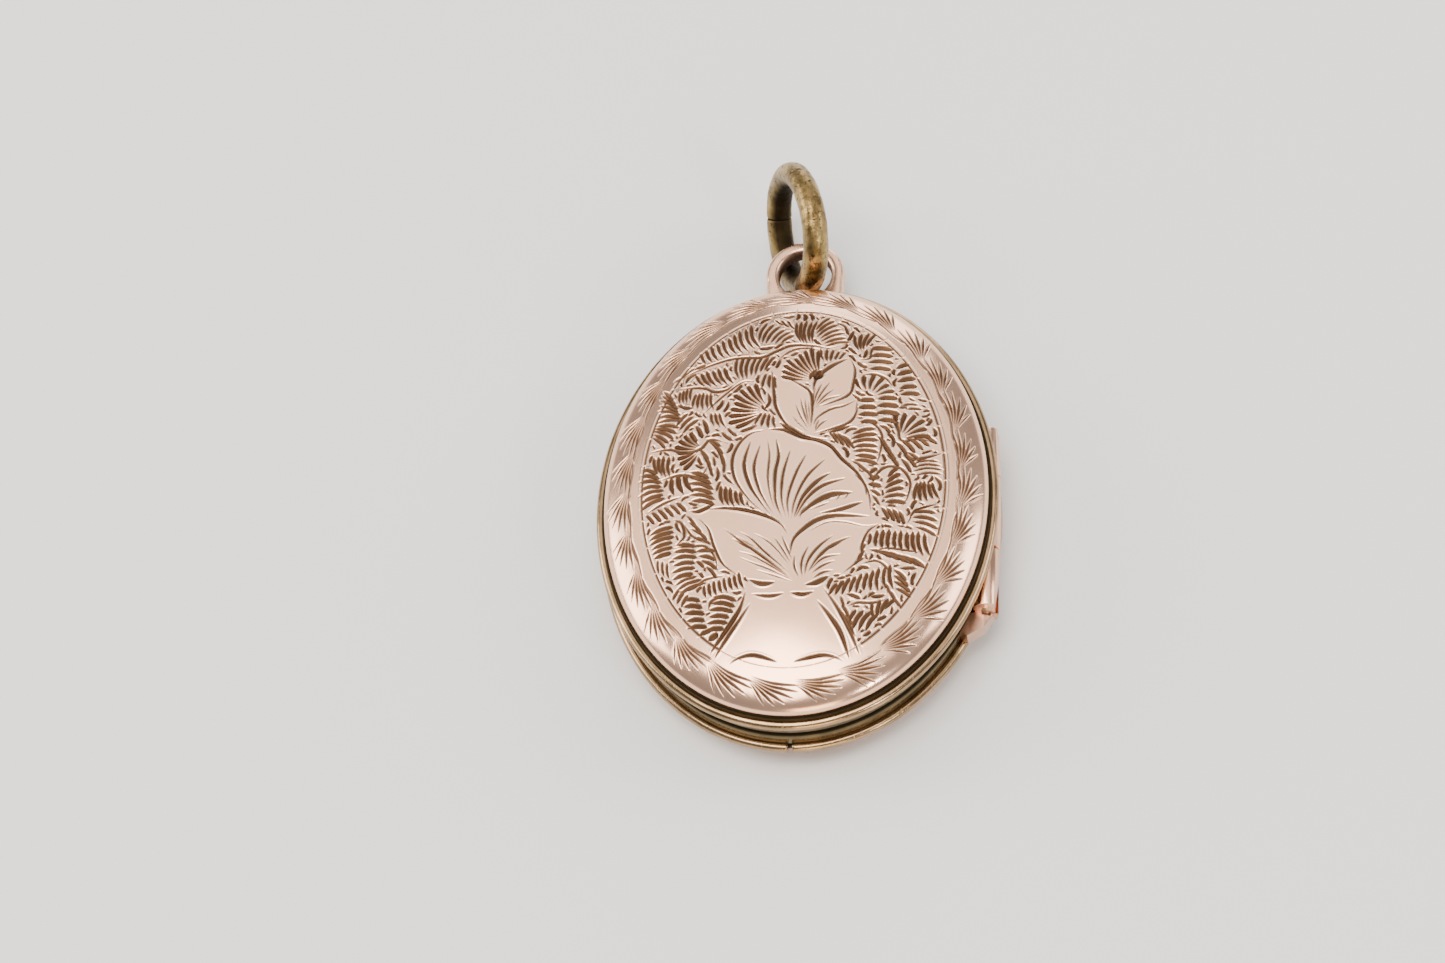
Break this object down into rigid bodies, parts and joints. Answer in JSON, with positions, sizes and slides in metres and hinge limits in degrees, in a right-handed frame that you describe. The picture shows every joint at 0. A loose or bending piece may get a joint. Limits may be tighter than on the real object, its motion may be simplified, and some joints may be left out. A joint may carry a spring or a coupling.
{
  "type": "locket",
  "caption": "Oval hinged back-and-front locket with a hand-engraved domed cover, moulded edge wires, a fixed bail eye and a loose jump ring.",
  "frame": {"origin": "middle of the oval on the flat resting face of the back cover", "axes": "+Z out of the engraved front cover, +Y from the bottom of the locket to the bail eye, +X to the hinge"},
  "size_m": [0.02, 0.0328, 0.0068],
  "materials": {
    "rose_gold": "polished rose gold with fine wear",
    "rim_gold": "worn rose gold, darker where it isn't rubbed",
    "ring_gold": "worn yellow gold with dark pits",
    "inner_gilt": "bright gilt",
    "pin_metal": "dull gold alloy",
    "crystal": "clear",
    "photo_card": "matt, aged"
  },
  "bodies": {
    "rear_half": {"rear_cover": "rose_gold", "rear_rim": "rim_gold", "rear_edge_wire": "rim_gold", "closing_lip": "rim_gold", "rear_lining": "inner_gilt", "rear_photo_card": "photo_card", "rear_crystal": "crystal", "rear_photo_frame": "inner_gilt", "rear_hinge_seat": "rose_gold", "rear_knuckle_upper": "rose_gold", "rear_knuckle_lower": "rose_gold", "hinge_pin": "pin_metal", "bail_eye": "rose_gold"},
    "front_half": {"front_cover": "rose_gold", "front_rim": "rim_gold", "front_edge_wire": "rim_gold", "front_lining": "inner_gilt", "front_photo_card": "photo_card", "front_crystal": "crystal", "front_photo_frame": "inner_gilt", "front_hinge_seat": "rose_gold", "front_knuckle": "rose_gold"},
    "jump_ring": {"jump_ring": "ring_gold"}
  },
  "joints": [
    {"name": "lid_hinge", "type": "hinge", "parent": "rear_half", "child": "front_half", "pos_m": [0.00932, 0, 0.00255], "axis": [0, 1, 0], "range_deg": [0, 100]},
    {"name": "ring_swing", "type": "hinge", "parent": "rear_half", "child": "jump_ring", "pos_m": [0, 0.0147, 0.0019], "axis": [0, 0, 1], "range_deg": [-60, 60]}
  ]
}
